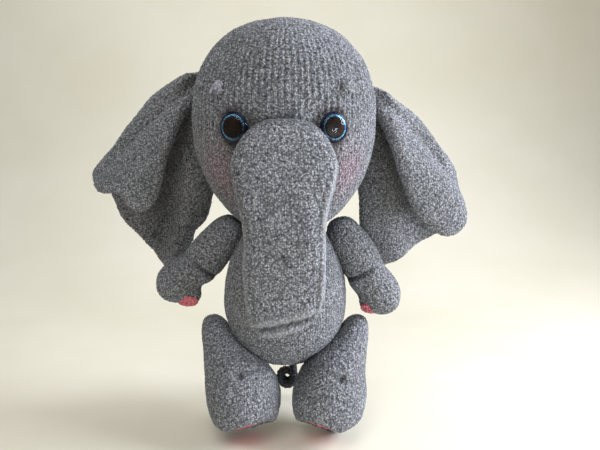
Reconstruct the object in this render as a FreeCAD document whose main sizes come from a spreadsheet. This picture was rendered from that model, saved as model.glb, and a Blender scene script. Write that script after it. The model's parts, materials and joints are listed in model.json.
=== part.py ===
import FreeCAD, Part
import math
import os
import re

import Sketcher
from FreeCAD import Placement, Rotation, Vector

# A sitting plush elephant with a big head, a hanging trunk, folded ears and four jointed limbs.
# Row frame: +Z up, the elephant faces -Y, its own left is +X. The origin is the centre of the
# flat seat under the body. "left" and "right" in names are the elephant's own.

SIZES = {
    # knitted covers and the filling inside them
    "cover_wall": 2.5,
    "soft_gap": 0.4,
    # how far a hole or a pocket is cut past the surface it opens in
    "cut_past": 4,
    # body: an egg, widest low down
    "body_width": 90,
    "body_low_half": 48,
    "body_high_half": 70,
    "seat_angle": 70,
    "neck_angle": 53,
    # head
    "head_width": 128,
    "head_depth": 124,
    "head_high_half": 69,
    "head_low_half": 80,
    "head_flat_angle": 57,
    "head_lift": 175,
    "head_forward": 5,
    # yarn that sews the head on
    "neck_yarn_ring": 12,
    "neck_yarn_radius": 1.2,
    # safety eyes
    "eye_spread": 59,
    "eye_shift": 1.2,
    "eye_drop": 5,
    "eye_width": 18,
    "lens_rise": 5,
    "glitter_radius": 8.6,
    "glitter_thick": 0.6,
    "pupil_radius": 5.8,
    "pupil_thick": 1.2,
    "shank_radius": 2,
    "shank_reach": 12,
    "eye_washer_radius": 6,
    "eye_washer_thick": 1.5,
    "eye_washer_slack": 0.7,
    # embroidered brows
    "brow_spread": 76,
    "brow_rise": 18,
    "brow_width": 9,
    "brow_height": 7,
    "brow_thick": 4.4,
    # trunk: a flattened tube, sewn to the face above the hinge line and free below it
    "trunk_width": 62.8,
    "trunk_root_deep": 29,
    "trunk_root_high": 64,
    "trunk_part_gap": 1,
    "trunk_hinge_lift": 113,
    "trunk_hinge_forward": 73,
    "trunk_knuckle_wide": 51,
    "trunk_knuckle_deep": 27,
    "trunk_free_length": 71,
    "trunk_tip_back": 14,
    # doll joints that carry the limbs
    "stem_radius": 3,
    "stem_run_gap": 0.05,
    "stem_cloth_gap": 0.4,
    "disc_radius": 6,
    "disc_thick": 2,
    "disc_offset": 7.6,
    "washer_thick": 1.8,
    "washer_depth": 4.8,
    "lock_radius": 4.8,
    "lock_thick": 1.4,
    "lock_depth": 6.9,
    "stem_reach": 9.2,
    "joint_pocket_radius": 6.8,
    "joint_pocket_depth": 10,
    "limb_gap": 1.3,
    # arms
    "shoulder_lift": 88,
    "arm_width": 28,
    "arm_thick": 28,
    "arm_length": 82,
    "arm_top": 16,
    "arm_pad_radius": 8.5,
    # legs
    "hip_lift": 24,
    "leg_width": 53,
    "leg_thick": 53,
    "leg_length": 87.5,
    "leg_top": 14,
    "leg_pad_radius": 19.5,
    "pad_thick": 2.2,
    "sole_room": 40,
    # ears
    "ear_thick": 11,
    "ear_yarn_gap": 0.8,
    # tail: a curled cord on a short stalk
    "tail_lift": 14,
    "tail_cord_radius": 2.3,
    "tail_stalk": 42,
    "tail_curl_radius": 6.5,
    "tail_curl_pitch": 5.2,
    "tail_curl_turns": 1.5,
}

doc = FreeCAD.newDocument("stuffed_elephant")
sheet = doc.addObject("Spreadsheet::Sheet", "Sizes")
for row, (alias, number) in enumerate(SIZES.items(), start=1):
    sheet.set("A%d" % row, alias)
    sheet.set("B%d" % row, str(number))
    sheet.setAlias("B%d" % row, alias)
doc.recompute()

SIDES = {"left": 1, "right": -1}
nodes = []


def size(alias):
    """A driving dimension, read back from the sheet."""
    return float(sheet.get(alias))


def formula(text):
    """An expression in the sheet's aliases, written the way an expression refers to the sheet."""
    return re.sub(r"[a-z_]+", lambda word: "Sizes." + word[0] if word[0] in SIZES else word[0], text)


def total(text):
    """The number that a sum of aliases and numbers comes to. A leading minus covers one bracket."""
    if text.startswith("-("):
        return -total(text[2:-1])
    amount = 0.0
    for sign, word in re.findall(r"([+-]?)\s*([a-z_]+|[0-9.]+)", text):
        amount += (-1 if sign == "-" else 1) * (size(word) if word in SIZES else float(word))
    return amount


def make(kind, name, **expressions):
    """A document object with the given properties bound to the sheet."""
    made = doc.addObject(kind, name)
    for place, text in expressions.items():
        made.setExpression(place, formula(text))
    return made


def node(label, made, placement=None):
    """Name a finished piece, put it in its place and list it for export."""
    made.Label = label
    if placement is not None:
        made.Placement = placement
    nodes.append(made)
    return made


def fuse(name, *shapes):
    made = doc.addObject("Part::MultiFuse", name)
    made.Shapes = list(shapes)
    return made


def cut(name, base, *tools):
    """base with every tool taken away."""
    made = doc.addObject("Part::Cut", name)
    made.Base = base
    made.Tool = tools[0] if len(tools) == 1 else fuse(name + "_tools", *tools)
    return made


def raised(placement, height):
    """The same placement, moved along its own Z axis."""
    return Placement(placement.multVec(Vector(0, 0, height)), placement.Rotation)


def rod(name, radius, low, high, placement):
    """A cylinder along the placement's Z axis, from low to high."""
    made = make("Part::Cylinder", name, Radius=radius, Height="(%s) - (%s)" % (high, low))
    made.Placement = raised(placement, total(low))
    return made


def turned(label, outline, placement):
    """A body turned about its Z axis. outline goes round the half section, as (radius, height)."""
    body = doc.addObject("PartDesign::Body", label + "_body")
    plane = next(f for f in body.Origin.OriginFeatures if f.Role == "XZ_Plane")
    sketch = body.newObject("Sketcher::SketchObject", label + "_section")
    sketch.AttachmentSupport = [(plane, "")]
    sketch.MapMode = "FlatFace"
    corners = [Vector(total(r), total(z), 0) for r, z in outline]
    count = len(corners)
    for i in range(count):
        sketch.addGeometry(Part.LineSegment(corners[i], corners[(i + 1) % count]))
    for i, (radius, height) in enumerate(outline):
        sketch.addConstraint(Sketcher.Constraint("Coincident", i, 2, (i + 1) % count, 1))
        for kind, axis, text, value in (
            ("DistanceX", -2, radius, corners[i].x),
            ("DistanceY", -1, height, corners[i].y),
        ):
            if value == 0:
                sketch.addConstraint(Sketcher.Constraint("PointOnObject", i, 1, axis))
                continue
            index = sketch.addConstraint(Sketcher.Constraint(kind, -1, 1, i, 1, value))
            sketch.setExpression("Constraints[%d]" % index, formula(text))
    turn = body.newObject("PartDesign::Revolution", label + "_turn")
    turn.Profile = sketch
    turn.ReferenceAxis = (sketch, ["V_Axis"])
    turn.Angle = 360
    sketch.Visibility = False
    return node(label, body, placement)


def ring(label, bore, outer, low, high, placement):
    """A flat washer about the placement's Z axis."""
    return turned(label, [(bore, low), (outer, low), (outer, high), (bore, high)], placement)


# Heights of the cross-sections of a padded form, from -1 at its low end to 1 at its high end.
HEIGHTS = (-1, -0.95, -0.82, -0.58, -0.2, 0.2, 0.58, 0.82, 0.95, 1)


def fullness(height, low_flat, high_flat, power):
    """How far a form is filled out at a height: 1 in its middle, and a flat's share at each end."""
    flat = low_flat if height < 0 else high_flat
    return flat + (1 - flat) * (1 - abs(height) ** power) ** (1 / power)


def eased(share):
    """A smooth step from 0 to 1."""
    share = min(max(share, 0), 1)
    return share * share * (3 - 2 * share)


def padded(name, form, inset="0"):
    """A padded form lofted through elliptical sections along Z, drawn in all round by inset."""
    sections = []
    for i, height in enumerate(HEIGHTS):
        full = fullness(height, form["low_flat"], form["high_flat"], form.get("power", 3))
        half_x = "(%s) / 2 * %.4f - (%s)" % (form["wide"], full * form["wide_at"](height), inset)
        half_y = "(%s) / 2 * %.4f - (%s)" % (form["deep"], full * form["deep_at"](height), inset)
        section = doc.addObject("Part::Ellipse", "%s_section_%d" % (name, i))
        major_on_y = form.get("major") == "y"
        section.Placement.Rotation = Rotation(Vector(0, 0, 1), 90 if major_on_y else 0)
        section.setExpression("MajorRadius", formula(half_y if major_on_y else half_x))
        section.setExpression("MinorRadius", formula(half_x if major_on_y else half_y))
        section.setExpression("Placement.Base.x", formula(form["shift_x"](height)))
        section.setExpression("Placement.Base.y", formula(form["shift_y"](height)))
        low, high = "(%s) + (%s)" % (form["low"], inset), form["high"]
        if not form.get("joined_above"):
            high = "(%s) - (%s)" % (high, inset)
        share = (height + 1) / 2
        rise = "(%s) * %.4f + (%s) * %.4f" % (low, 1 - share, high, share)
        section.setExpression("Placement.Base.z", formula(rise))
        sections.append(section)
    made = doc.addObject("Part::Loft", name)
    made.Sections = sections
    made.Solid = True
    return made


def ellipsoid(name, wide, deep, high, low_angle="-90", high_angle="90"):
    """An ellipsoid of the given half sizes; the angles cut flats across its low and high ends."""
    return make(
        "Part::Ellipsoid",
        name,
        Radius1=high,
        Radius2=wide,
        Radius3=deep,
        Angle1=low_angle,
        Angle2=high_angle,
    )


# ---------------------------------------------------------------- where things sit on the surfaces

BODY_CENTRE = size("body_low_half") * math.sin(math.radians(size("seat_angle")))
HEAD_CENTRE = Vector(0, -size("head_forward"), size("head_lift"))
HEAD_HALVES = Vector(size("head_width") / 2, size("head_depth") / 2, size("head_high_half"))
HEAD_LOW_HALF = size("head_low_half")


def aimed(point, outward):
    """A placement at point whose Z axis runs along outward."""
    return Placement(point, Rotation(Vector(0, 0, 1), outward))


def body_radius(lift):
    """The body cover's outer radius at a height above the seat."""
    rise = lift - BODY_CENTRE
    half = size("body_high_half") if rise > 0 else size("body_low_half")
    return size("body_width") / 2 * math.sqrt(1 - (rise / half) ** 2)


def head_front(across, rise):
    """A placement on the front of the head, Z axis outward, across from the middle plane."""
    halves = Vector(HEAD_HALVES.x, HEAD_HALVES.y, HEAD_HALVES.z if rise > 0 else HEAD_LOW_HALF)
    share = 1 - (across / halves.x) ** 2 - (rise / halves.z) ** 2
    offset = Vector(across, -halves.y * math.sqrt(share), rise)
    slopes = [offset[i] / halves[i] ** 2 for i in range(3)]
    return aimed(HEAD_CENTRE + offset, Vector(*slopes))


def joint_axis(side, tilt):
    """The outward direction of a limb joint on one side, tilted up from level by tilt degrees."""
    angle = math.radians(tilt)
    return Vector(SIDES[side] * math.cos(angle), 0, math.sin(angle))


def limb_joint(side, lift, tilt):
    """The joint's placement: on the body's surface, Z axis outward."""
    return aimed(Vector(SIDES[side] * body_radius(lift), 0, lift), joint_axis(side, tilt))


def limb_place(side, lift, tilt, forward):
    """The limb's placement: X axis outward along the joint, limb hanging along -Z, swung forward."""
    outward = joint_axis(side, tilt)
    upward = Vector(-SIDES[side] * math.sin(math.radians(tilt)), 0, math.cos(math.radians(tilt)))
    hanging = Rotation(outward, upward.cross(outward), upward, "XYZ")
    swing = Rotation(outward, -SIDES[side] * forward)
    return Placement(Vector(SIDES[side] * body_radius(lift), 0, lift), swing * hanging)


SHOULDER_TILT = {"left": 24, "right": 34}
SHOULDER_SWING = -6
HIP_TILT = -19.7
HIP_SWING = 30
LIMB_JOINTS = {
    "arm": {side: limb_joint(side, size("shoulder_lift"), SHOULDER_TILT[side]) for side in SIDES},
    "leg": {side: limb_joint(side, size("hip_lift"), HIP_TILT) for side in SIDES},
}
# the eyes sit a little off the middle plane, as hand-placed eyes do
EYES = {
    side: head_front(sign * size("eye_spread") / 2 + size("eye_shift"), -size("eye_drop"))
    for side, sign in SIDES.items()
}


# ---------------------------------------------------------------- body


def egg(name, inset, low_angle="-seat_angle"):
    """The body's egg shape, drawn in by inset, with a flat across its low end unless low_angle is -90."""
    half, low_half, high_half = (
        "%s - (%s)" % (whole, inset) for whole in ("body_width / 2", "body_low_half", "body_high_half")
    )
    low = ellipsoid(name + "_low", half, half, low_half, low_angle, "0")
    high = ellipsoid(name + "_high", half, half, high_half, "0", "neck_angle")
    made = fuse(name, low, high)
    made.Placement.Base = Vector(0, 0, BODY_CENTRE)
    return made


def limb_joint_rods(name, radius, low, high):
    """One rod on each of the four limb joints, for holes and pockets."""
    return [
        rod("%s_%s_%s" % (name, limb, side), radius, low, high, place)
        for limb, places in LIMB_JOINTS.items()
        for side, place in places.items()
    ]


holes = limb_joint_rods("body_hole", "stem_radius + stem_cloth_gap", "-joint_pocket_depth", "cut_past")
below_seat = rod("below_seat", "body_width", "-body_low_half", "0", Placement())
body_out = egg("body_out", "0", "-90")
node("body_cover", cut("body_cover_cut", body_out, egg("body_in", "cover_wall"), below_seat, *holes))
pockets = limb_joint_rods("body_pocket", "joint_pocket_radius", "-joint_pocket_depth", "cut_past")
body_fill = egg("body_fill", "cover_wall + soft_gap")
node("body_stuffing", cut("body_stuffing_cut", body_fill, *pockets))

neck_yarn = make("Part::Torus", "neck", Radius1="neck_yarn_ring", Radius2="neck_yarn_radius")
body_top = BODY_CENTRE + size("body_high_half") * math.sin(math.radians(size("neck_angle")))
head_bottom = HEAD_CENTRE.z - HEAD_LOW_HALF * math.sin(math.radians(size("head_flat_angle")))
node("neck_yarn", neck_yarn, Placement(Vector(0, 0, (body_top + head_bottom) / 2), Rotation()))


# ---------------------------------------------------------------- head


def head_form(name, inset):
    """The head in its place: round above, fuller in the cheeks, flat under the chin; drawn in by inset."""
    wide, deep, high, low = (
        "%s - (%s)" % (whole, inset)
        for whole in ("head_width / 2", "head_depth / 2", "head_high_half", "head_low_half")
    )
    cheeks = ellipsoid(name + "_cheeks", wide, deep, low, "-head_flat_angle", "0")
    crown = ellipsoid(name + "_crown", wide, deep, high, "0", "90")
    made = fuse(name, cheeks, crown)
    made.Placement.Base = HEAD_CENTRE
    return made


def eye_rods(name, radius, low, high):
    return [rod("%s_%s" % (name, side), radius, low, high, place) for side, place in EYES.items()]


head_out = head_form("head_out", "0")
head_in = head_form("head_in", "cover_wall")
shank_holes = eye_rods("shank_hole", "shank_radius + stem_cloth_gap", "-cover_wall - cut_past", "cut_past")
node("head_cover", cut("head_cover_cut", head_out, head_in, *shank_holes))
eye_pockets = eye_rods("eye_pocket", "eye_washer_radius + soft_gap", "-shank_reach - soft_gap", "cut_past")
head_fill = head_form("head_fill", "cover_wall + soft_gap")
node("head_stuffing", cut("head_stuffing_cut", head_fill, *eye_pockets))


# ---------------------------------------------------------------- eyes and brows


def eye(side):
    """One safety eye: clear lens, black pupil on its shank, glitter ring and the washer inside."""
    place = EYES[side]
    lens_base = "glitter_thick + soft_gap"
    pupil_base = lens_base + " + stem_run_gap"
    pupil_top = lens_base + " + pupil_thick"
    lens = ellipsoid("lens_" + side, "eye_width / 2", "eye_width / 2", "lens_rise", "0")
    lens.Placement = raised(place, total(lens_base))
    recess_top = pupil_top + " + stem_run_gap"
    recess = rod("recess_" + side, "pupil_radius + stem_run_gap", "0", recess_top, place)
    node("eye_lens_" + side, cut("lens_cut_" + side, lens, recess))
    outline = [
        ("0", "-shank_reach"),
        ("shank_radius", "-shank_reach"),
        ("shank_radius", pupil_base),
        ("pupil_radius", pupil_base),
        ("pupil_radius", pupil_top),
        ("0", pupil_top),
    ]
    turned("eye_pupil_" + side, outline, place)
    bore = "shank_radius + stem_cloth_gap"
    ring("eye_glitter_" + side, bore, "glitter_radius", "soft_gap", lens_base + " - stem_run_gap", place)
    washer_top = "-cover_wall - eye_washer_slack"
    washer_low = washer_top + " - eye_washer_thick"
    bore = "shank_radius + stem_run_gap"
    ring("eye_washer_" + side, bore, "eye_washer_radius", washer_low, washer_top, place)


def brow(side):
    """A short tuft of yarn stitched above the eye."""
    place = head_front(SIDES[side] * size("brow_spread") / 2, size("brow_rise"))
    made = ellipsoid("tuft_" + side, "brow_width / 2", "brow_height / 2", "brow_thick / 2")
    node("brow_" + side, made, raised(place, size("brow_thick") / 2 + 2 * size("soft_gap")))


for side in SIDES:
    eye(side)
    brow(side)


# ---------------------------------------------------------------- trunk

# Both parts of the trunk are drawn about the hinge line, with Z up and the front towards -Y.
TRUNK_PLACE = Placement(Vector(0, -size("trunk_hinge_forward"), size("trunk_hinge_lift")), Rotation())
TRUNK_ROOT = {
    "wide": "trunk_width",
    "deep": "trunk_root_deep",
    "low": "trunk_knuckle_deep / 2 + trunk_part_gap",
    "high": "trunk_root_high",
    "low_flat": 0.98,
    "high_flat": 0.32,
    "wide_at": lambda height: 0.915 + 0.085 * math.cos(1.6 * (height - 0.15)),
    "deep_at": lambda height: 1.0 - 0.2 * max(height, 0),
    "shift_x": lambda height: "0",
    "shift_y": lambda height: "%.3f * trunk_root_deep" % (0.1 * height + 0.12 * height**2 - 0.1),
}
TRUNK_TUBE = {
    "wide": "trunk_knuckle_wide",
    "deep": "trunk_knuckle_deep",
    "low": "-trunk_free_length",
    "high": "0",
    "joined_above": True,
    "low_flat": 0.55,
    "high_flat": 1,
    "wide_at": lambda height: 0.97 + 0.03 * height,
    "deep_at": lambda height: 0.96 + 0.04 * height,
    "shift_x": lambda height: "0",
    "shift_y": lambda height: "%.4f * trunk_tip_back" % (((1 - height) / 2) ** 1.3),
}


def trunk_root(name, inset):
    """The sewn part of the trunk, before the face and the eyes are cut out of its back."""
    form = padded(name, TRUNK_ROOT, inset)
    form.Placement = TRUNK_PLACE
    return form


def trunk_tube(name, inset):
    """The free part of the trunk: a tapering tube under a round end on the hinge line."""
    tube = padded(name + "_tube", TRUNK_TUBE, inset)
    halves = ["%s / 2 - (%s)" % (whole, inset) for whole in ("trunk_knuckle_wide", "trunk_knuckle_deep")]
    knuckle = ellipsoid(name + "_knuckle", halves[0], halves[1], halves[1], "0")
    return fuse(name, tube, knuckle)


def face_and_eyes(name):
    """What the sewn part of the trunk keeps clear of: the face behind it and the eyes beside it."""
    eye_room = eye_rods(name + "_eye_room", "eye_width / 2 + soft_gap", "-cut_past", "lens_rise * 2")
    return [head_form(name + "_face", "-soft_gap"), *eye_room]


root_out = trunk_root("trunk_root_out", "0")
root_in = trunk_root("trunk_root_in", "cover_wall")
node("trunk_root_cover", cut("trunk_root_cut", root_out, root_in, *face_and_eyes("root_cover")))
root_fill = trunk_root("trunk_root_fill", "cover_wall + soft_gap")
node("trunk_root_stuffing", cut("trunk_root_fill_cut", root_fill, *face_and_eyes("root_fill")))
tube_cover = cut("trunk_cut", trunk_tube("trunk_out", "0"), trunk_tube("trunk_in", "cover_wall"))
node("trunk_cover", tube_cover, TRUNK_PLACE)
node("trunk_stuffing", trunk_tube("trunk_fill", "cover_wall + soft_gap"), TRUNK_PLACE)


# ---------------------------------------------------------------- arms and legs

# Limb forms hang along -Z from the joint, with the joint's axis along +X.
ARM = {
    "wide": "arm_thick",
    "deep": "arm_width",
    "low": "arm_top - arm_length",
    "high": "arm_top",
    "low_flat": 0.4,
    "high_flat": 0.4,
    "wide_at": lambda height: 0.96 - 0.04 * height,
    "deep_at": lambda height: 0.96 - 0.04 * height,
    "shift_x": lambda height: "limb_gap + arm_thick / 2",
    "shift_y": lambda height: "0",
    # the pad faces down and in towards the body, across the inner side of the hand, and a little forward
    "pad_at": Vector(9, 0, -59.6),
    "pad_turn": 48,
    "pad_forward": 45,
}
LEG = {
    "wide": "leg_thick",
    "deep": "leg_width",
    "low": "leg_top - leg_length",
    "high": "leg_top",
    "major": "y",
    "low_flat": 0.5,
    "high_flat": 0.4,
    # slim beside the body, swelling to a round foot
    "wide_at": lambda height: 0.38 + 0.6 * eased((0.5 - height) / 1.15),
    "deep_at": lambda height: 1 - 0.22 * eased((height + 0.3) / 1.3),
    "shift_x": lambda height: "limb_gap + leg_thick * %.4f" % (0.1 + 0.09 * eased((height + 0.6) / 1.2)),
    "shift_y": lambda height: "0",
    "pad_at": Vector(6.7, 0, -68.5),
    "pad_turn": 0,
    "pad_forward": 0,
}
ACROSS = Rotation(Vector(0, 1, 0), 90)


def limb(kind, side, form, place, pad_radius):
    """A jointed limb: cover, filling, foot or hand pad, and the doll joint that carries it."""
    name = "%s_%s" % (kind, side)
    across = Placement(Vector(), ACROSS)
    hole_end = "limb_gap + cover_wall + cut_past"
    hole = rod(name + "_hole", "stem_radius + stem_cloth_gap", "-limb_gap", hole_end, across)
    middle = Vector(size("limb_gap") + size(form["wide"]) / 2, 0, 0)
    forward = Placement(Vector(), Rotation(Vector(0, 0, 1), SIDES[side] * form["pad_forward"]), middle)
    facing = Rotation(Vector(0, 1, 0), 180 + form["pad_turn"])
    sole = forward.multiply(Placement(form["pad_at"], facing))

    def flat_soled(part, inset):
        """The limb's form drawn in by inset, with its end cut flat for the pad."""
        end = rod(name + part + "_end", "sole_room", "-(%s)" % inset, "sole_room", sole)
        return cut(name + part, padded(name + part + "_form", form, inset), end)

    cover = cut(name + "_cover_cut", flat_soled("_out", "0"), flat_soled("_in", "cover_wall"), hole)
    node("%s_cover_%s" % (kind, side), cover, place)
    pocket_top = "disc_offset + disc_thick + soft_gap"
    pocket = rod(name + "_pocket", "joint_pocket_radius", "-limb_gap", pocket_top, across)
    fill = cut(name + "_fill_cut", flat_soled("_fill", "cover_wall + soft_gap"), pocket)
    node("%s_stuffing_%s" % (kind, side), fill, place)

    pad_top = "soft_gap + pad_thick"
    outline = [("0", "soft_gap"), (pad_radius, "soft_gap"), (pad_radius, pad_top), ("0", pad_top)]
    turned("%s_pad_%s" % (kind, side), outline, place.multiply(sole))

    joint = LIMB_JOINTS[kind][side]
    disc_top = "disc_offset + disc_thick"
    outline = [
        ("0", "-stem_reach"),
        ("stem_radius", "-stem_reach"),
        ("stem_radius", "disc_offset"),
        ("disc_radius", "disc_offset"),
        ("disc_radius", disc_top),
        ("0", disc_top),
    ]
    turned("%s_joint_disc_%s" % (kind, side), outline, joint)
    bore = "stem_radius + stem_run_gap"
    washer_low = "-washer_depth - washer_thick"
    ring("%s_washer_%s" % (kind, side), bore, "disc_radius", washer_low, "-washer_depth", joint)
    lock_low = "-lock_depth - lock_thick"
    ring("%s_lock_%s" % (kind, side), bore, "lock_radius", lock_low, "-lock_depth", joint)


for side in SIDES:
    arm_place = limb_place(side, size("shoulder_lift"), SHOULDER_TILT[side], SHOULDER_SWING)
    limb("arm", side, ARM, arm_place, "arm_pad_radius")
    leg_place = limb_place(side, size("hip_lift"), HIP_TILT, HIP_SWING)
    limb("leg", side, LEG, leg_place, "leg_pad_radius")


# ---------------------------------------------------------------- ears

# Each ear is a knitted back panel that hangs from its sewn edge on the head, and a front panel
# that folds forward over it. An upright hinge stands in for the sewn edge.
EAR_HINGE = Vector(63, 8, 170)
EAR_SWINGS = (-8, 0, 20)
EAR_SHAPES = {
    "right": {
        "back": {"top": Vector(-68, 11, 208), "low": Vector(-95, 36, 62), "wide": 72, "turn": 12},
        "front": {"top": Vector(-67, -4, 207), "low": Vector(-121, -14, 120), "wide": 53, "turn": -8},
    },
    "left": {
        "back": {"top": Vector(66, 11, 198), "low": Vector(85, 36, 62), "wide": 62, "turn": -12},
        "front": {"top": Vector(69, -4, 203), "low": Vector(115, -14, 94), "wide": 50, "turn": 8},
    },
}


def ear_panel(name, shape):
    """One padded panel of an ear, from its top point to its low point, widest low down."""
    along = shape["top"] - shape["low"]
    form = {
        "wide": str(shape["wide"]),
        "deep": "ear_thick",
        "low": "-%.3f" % along.Length,
        "high": "0",
        "low_flat": 0.3,
        "high_flat": 0.3,
        "power": 2.3,
        "wide_at": lambda height: 0.78 - 0.22 * height,
        "deep_at": lambda height: 0.9 - 0.1 * height,
        "shift_x": lambda height: "0",
        "shift_y": lambda height: "0",
    }
    made = padded(name, form)
    facing = Rotation(Vector(0, 0, 1), shape["turn"]).multVec(Vector(0, -1, 0))
    across = facing.cross(along)
    made.Placement = Placement(shape["top"], Rotation(across, facing * -1, along, "ZXY"))
    return made


def swept_head(name, side):
    """The head as the ear meets it at rest and at both ends of its swing, with room for the yarn."""
    heads = []
    for i, swing in enumerate(EAR_SWINGS):
        head = head_form("%s_%d" % (name, i), "-ear_yarn_gap")
        hinge = Vector(SIDES[side] * EAR_HINGE.x, EAR_HINGE.y, EAR_HINGE.z)
        turn = Placement(Vector(), Rotation(Vector(0, 0, 1), SIDES[side] * swing), hinge)
        head.Placement = turn.multiply(head.Placement)
        heads.append(head)
    return heads


for side, shapes in EAR_SHAPES.items():
    for panel, shape in shapes.items():
        label = "ear_%s_%s" % (panel, side)
        form = ear_panel(label + "_form", shape)
        node(label, cut(label + "_cut", form, *swept_head(label + "_head", side)))


# ---------------------------------------------------------------- tail


def tail():
    """A stalk of cord that ends in a curl, hanging from the back of the body."""
    drop = Placement(Vector(), Rotation(Vector(1, 0, 0), 180))
    stalk = rod("tail_stalk_rod", "tail_cord_radius", "0", "tail_stalk", drop)
    coil = make(
        "Part::Helix",
        "tail_coil",
        Radius="tail_curl_radius",
        Pitch="tail_curl_pitch",
        Height="tail_curl_pitch * tail_curl_turns",
    )
    section = make("Part::Circle", "tail_section", Radius="tail_cord_radius")
    section.Placement = Placement(Vector(size("tail_curl_radius"), 0, 0), Rotation(Vector(1, 0, 0), 90))
    sweep = doc.addObject("Part::Sweep", "tail_sweep")
    sweep.Sections = [section]
    sweep.Spine = (coil, ["Edge1"])
    sweep.Solid = True
    sweep.Frenet = True
    half_width = size("tail_curl_pitch") * size("tail_curl_turns") / 2
    centre = Vector(0, half_width, -size("tail_stalk") - size("tail_curl_radius"))
    sweep.Placement = Placement(centre, Rotation(Vector(1, 0, 0), 90))
    return fuse("tail_fuse", stalk, sweep)


tail_gap = size("tail_cord_radius") + size("soft_gap")
tail_base = Vector(0, body_radius(size("tail_lift")) + tail_gap, size("tail_lift"))
node("tail", tail(), Placement(tail_base, Rotation()))


# ---------------------------------------------------------------- check and write

doc.recompute()
broken = [made.Name for made in doc.Objects if "Invalid" in made.State or "Error" in made.State]
if broken:
    raise SystemExit("failed objects: " + ", ".join(broken))
os.makedirs("parts", exist_ok=True)
for made in nodes:
    if made.Shape.isNull() or not made.Shape.isValid():
        raise SystemExit("bad shape: " + made.Label)
    if len(made.Shape.Solids) != 1:
        raise SystemExit("%s has %d solids" % (made.Label, len(made.Shape.Solids)))
    made.Shape.exportStep(os.path.join("parts", made.Label + ".step"))
print(len(nodes), "parts written")
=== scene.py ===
import json
import math

import bmesh
import bpy
import numpy as np
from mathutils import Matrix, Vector


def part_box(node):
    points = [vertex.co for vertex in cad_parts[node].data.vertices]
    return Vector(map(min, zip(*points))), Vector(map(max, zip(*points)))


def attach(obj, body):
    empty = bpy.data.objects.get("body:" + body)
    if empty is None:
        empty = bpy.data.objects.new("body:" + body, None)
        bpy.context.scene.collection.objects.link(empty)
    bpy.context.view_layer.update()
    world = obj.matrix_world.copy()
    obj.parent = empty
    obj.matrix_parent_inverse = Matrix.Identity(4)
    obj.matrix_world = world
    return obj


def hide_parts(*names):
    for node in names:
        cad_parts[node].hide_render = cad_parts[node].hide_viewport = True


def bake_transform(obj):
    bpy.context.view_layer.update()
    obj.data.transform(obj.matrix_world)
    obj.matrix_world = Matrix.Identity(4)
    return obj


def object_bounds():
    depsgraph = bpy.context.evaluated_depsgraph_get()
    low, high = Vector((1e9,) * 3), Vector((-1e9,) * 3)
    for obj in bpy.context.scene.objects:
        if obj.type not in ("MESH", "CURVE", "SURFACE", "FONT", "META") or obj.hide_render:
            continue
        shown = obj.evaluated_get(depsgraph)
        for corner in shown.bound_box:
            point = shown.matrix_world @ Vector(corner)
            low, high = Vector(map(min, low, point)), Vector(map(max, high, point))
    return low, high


# Looks of the plush elephant. Soft parts are closed forms built from cross-sections, evened out, puffed
# by a short cloth simulation, smoothed, and then covered with the looped pile of the knit.
# Lengths are written in millimetres times MM. "left" and "right" are the elephant's own.

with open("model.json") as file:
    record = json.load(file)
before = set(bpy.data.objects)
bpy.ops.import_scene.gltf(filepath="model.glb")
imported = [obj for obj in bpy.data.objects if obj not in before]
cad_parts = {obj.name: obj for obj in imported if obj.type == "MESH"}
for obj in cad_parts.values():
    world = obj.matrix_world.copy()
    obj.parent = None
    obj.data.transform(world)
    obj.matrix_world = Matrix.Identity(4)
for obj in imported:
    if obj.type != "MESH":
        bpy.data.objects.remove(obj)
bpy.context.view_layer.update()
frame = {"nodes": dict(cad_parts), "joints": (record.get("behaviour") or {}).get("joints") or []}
MM = 0.001
SIDES = {"left": 1, "right": -1}
JOINTS = {joint["name"]: joint for joint in frame["joints"]}
UP = np.array((0.0, 0.0, 1.0))
FORWARD = np.array((0.0, -1.0, 0.0))


# ---- positions from the frame


def box(*nodes):
    """Lowest and highest corner of some CAD nodes taken together."""
    corners = np.array([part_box(node) for node in nodes])
    return corners[:, 0].min(0), corners[:, 1].max(0)


def middle(*nodes):
    """The middle of some CAD nodes' box."""
    low, high = box(*nodes)
    return (low + high) / 2


def unit(vector):
    """A direction as a vector of length 1."""
    return np.array(vector, float) / np.linalg.norm(vector)


def units(rows):
    """The same for each row."""
    return rows / np.linalg.norm(rows, axis=1, keepdims=True)


def between(low, high, share):
    return low + (high - low) * share


def curve(stations, at):
    """A smooth curve through (place, value) stations, read at the places given."""
    places = np.array([station[0] for station in stations], float)
    values = np.array([station[1] for station in stations], float)
    slopes = np.gradient(values, places)
    at = np.clip(at, places[0], places[-1])
    i = np.clip(np.searchsorted(places, at) - 1, 0, len(places) - 2)
    step = places[i + 1] - places[i]
    t = (at - places[i]) / step
    start, end = values[i], values[i + 1]
    return (
        (1 + 2 * t) * (1 - t) ** 2 * start
        + t * (1 - t) ** 2 * step * slopes[i]
        + t**2 * (3 - 2 * t) * end
        + t**2 * (t - 1) * step * slopes[i + 1]
    )


def run_length(path):
    """How far along a path each of its points is."""
    return np.append(0, np.cumsum(np.linalg.norm(np.diff(path, axis=0), axis=1)))


def eased(share):
    """A smooth step from 0 to 1."""
    share = np.clip(share, 0, 1)
    return share * share * (3 - 2 * share)


# ---- pile and unevenness of the knit


def scatter(cells, seed):
    """Three numbers from 0 to 1 for every whole-number cell, the same in every run."""
    key = (cells[:, 0] * 73856093) ^ (cells[:, 1] * 19349663) ^ (cells[:, 2] * 83492791) ^ (seed * 40503)
    numbers = []
    for _ in range(3):
        key = ((key ^ (key >> 13)) * 1103515245 + 12345) & 0x7FFFFFFF
        numbers.append(((key >> 8) & 0xFFFF) / 0xFFFF)
    return np.stack(numbers, axis=1)


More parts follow.
